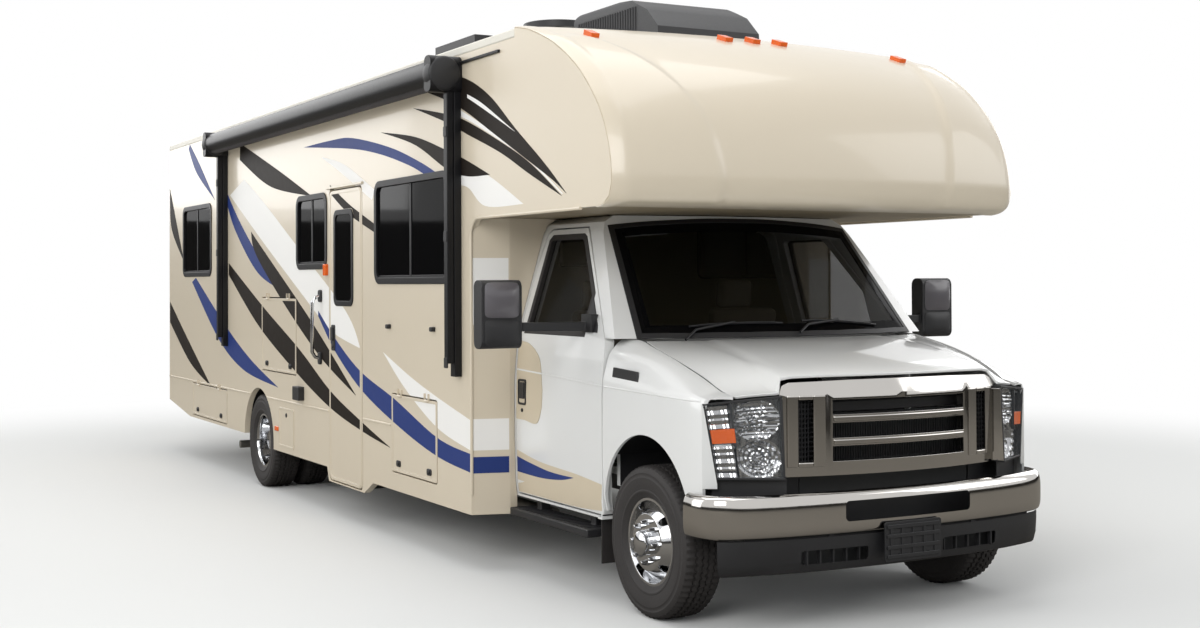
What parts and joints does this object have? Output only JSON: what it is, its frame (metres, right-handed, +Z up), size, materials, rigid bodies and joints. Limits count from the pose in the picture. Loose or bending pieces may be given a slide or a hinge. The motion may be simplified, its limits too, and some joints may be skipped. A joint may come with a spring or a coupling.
{
  "type": "motorhome",
  "caption": "Class C motorhome: van cab with opening hood and doors, coach body with entry door, hatches and awning, steered front wheels and twin rear wheels.",
  "frame": {"origin": "on the ground under the middle of the whole length and width", "axes": "+X forward, +Y to the driver's side (left), +Z up"},
  "size_m": [9.655, 3.116, 3.39],
  "materials": {
    "coach_paint": "gloss",
    "roof_white": "satin",
    "cab_paint": "gloss",
    "chassis_black": "satin",
    "engine_iron": "matte",
    "tyre_rubber": "matte",
    "chrome": "polished",
    "black_plastic": "satin",
    "dark_glass": "polished",
    "lamp_lens": "polished",
    "amber_lens": "gloss",
    "trim_grey": "matte",
    "seat_cloth": "matte",
    "floor_wood": "matte",
    "liner_grey": "matte"
  },
  "bodies": {
    "coach": {"frame_rails": "chassis_black", "frame_beams": "chassis_black", "drivetrain": "engine_iron", "exhaust": "engine_iron", "fuel_tank": "chassis_black", "front_axle": "chassis_black", "rear_axle": "chassis_black", "leaf_springs": "chassis_black", "cab_body": "cab_paint", "cowl": "black_plastic", "fenders": "cab_paint", "front_support": "black_plastic", "grille": "chrome", "headlamps": "lamp_lens", "bumper_front": "chrome", "valance": "black_plastic", "plate_bracket": "black_plastic", "windshield": "dark_glass", "running_boards": "black_plastic", "wheel_liners": "black_plastic", "dashboard": "trim_grey", "seats": "seat_cloth", "steering_wheel": "black_plastic", "coach_floors": "floor_wood", "side_walls": "coach_paint", "wall_rear": "coach_paint", "wall_front": "coach_paint", "roof": "roof_white", "front_cap": "coach_paint", "entry_steps": "black_plastic", "window_frames": "black_plastic", "window_glass": "dark_glass", "hatch_boxes": "liner_grey", "awning_arms": "black_plastic", "awning_roller": "black_plastic", "roof_units": "black_plastic", "lamps": "amber_lens", "rear_bumper": "chassis_black"},
    "knuckle_l": {"knuckle_l": "chassis_black"},
    "knuckle_r": {"knuckle_r": "chassis_black"},
    "wheel_fl": {"tyre_fl": "tyre_rubber", "rim_fl": "chrome"},
    "wheel_fr": {"tyre_fr": "tyre_rubber", "rim_fr": "chrome"},
    "wheels_rl": {"tyres_rl": "tyre_rubber", "rims_rl": "chrome"},
    "wheels_rr": {"tyres_rr": "tyre_rubber", "rims_rr": "chrome"},
    "hood_lid": {"hood": "cab_paint"},
    "door_left": {"cab_door_l": "cab_paint", "door_glass_l": "dark_glass", "mirror_l": "black_plastic"},
    "door_right": {"cab_door_r": "cab_paint", "door_glass_r": "dark_glass", "mirror_r": "black_plastic"},
    "door_entry": {"entry_door": "coach_paint"},
    "lid_fr": {"hatch_fr": "coach_paint"},
    "lid_mr": {"hatch_mr": "coach_paint"},
    "lid_rr": {"hatch_rr": "coach_paint"},
    "lid_fl": {"hatch_fl": "coach_paint"}
  },
  "joints": [
    {"name": "steer_left", "type": "hinge", "parent": "coach", "child": "knuckle_l", "pos_m": [4.0275, 0.8, 0.372], "axis": [0, 0, 1], "range_deg": [-28, 28]},
    {"name": "steer_right", "type": "hinge", "parent": "coach", "child": "knuckle_r", "pos_m": [4.0275, -0.8, 0.372], "axis": [0, 0, 1], "range_deg": [-28, 28]},
    {"name": "spin_front_left", "type": "hinge", "parent": "knuckle_l", "child": "wheel_fl", "pos_m": [4.0275, 0.881, 0.372], "axis": [0, 1, 0], "continuous": true},
    {"name": "spin_front_right", "type": "hinge", "parent": "knuckle_r", "child": "wheel_fr", "pos_m": [4.0275, -0.881, 0.372], "axis": [0, 1, 0], "continuous": true},
    {"name": "spin_rear_left", "type": "hinge", "parent": "coach", "child": "wheels_rl", "pos_m": [-1.6625, 0.989, 0.372], "axis": [0, 1, 0], "continuous": true},
    {"name": "spin_rear_right", "type": "hinge", "parent": "coach", "child": "wheels_rr", "pos_m": [-1.6625, -0.989, 0.372], "axis": [0, 1, 0], "continuous": true},
    {"name": "hood_open", "type": "hinge", "parent": "coach", "child": "hood_lid", "pos_m": [3.8125, 0, 1.326], "axis": [0, -1, 0], "range_deg": [0, 44]},
    {"name": "door_left_open", "type": "hinge", "parent": "coach", "child": "door_left", "pos_m": [3.6015, 1, 1.2], "axis": [0, 0, -1], "range_deg": [0, 65]},
    {"name": "door_right_open", "type": "hinge", "parent": "coach", "child": "door_right", "pos_m": [3.6015, -1, 1.2], "axis": [0, 0, 1], "range_deg": [0, 65]},
    {"name": "entry_door_open", "type": "hinge", "parent": "coach", "child": "door_entry", "pos_m": [0.7575, -1.251, 1.272], "axis": [0, 0, 1], "range_deg": [0, 110]},
    {"name": "hatch_front_right_open", "type": "hinge", "parent": "coach", "child": "lid_fr", "pos_m": [1.679, -1.264, 0.928], "axis": [-1, 0, 0], "range_deg": [0, 90]},
    {"name": "hatch_middle_right_open", "type": "hinge", "parent": "coach", "child": "lid_mr", "pos_m": [-1.119, -1.264, 1.516], "axis": [-1, 0, 0], "range_deg": [0, 90]},
    {"name": "hatch_rear_right_open", "type": "hinge", "parent": "coach", "child": "lid_rr", "pos_m": [-3.2115, -1.264, 0.71], "axis": [-1, 0, 0], "range_deg": [0, 90]},
    {"name": "hatch_front_left_open", "type": "hinge", "parent": "coach", "child": "lid_fl", "pos_m": [1.679, 1.264, 0.928], "axis": [1, 0, 0], "range_deg": [0, 90]}
  ],
  "couplings": [
    {"joint": "steer_right", "follows": "steer_left", "ratio": 1}
  ]
}
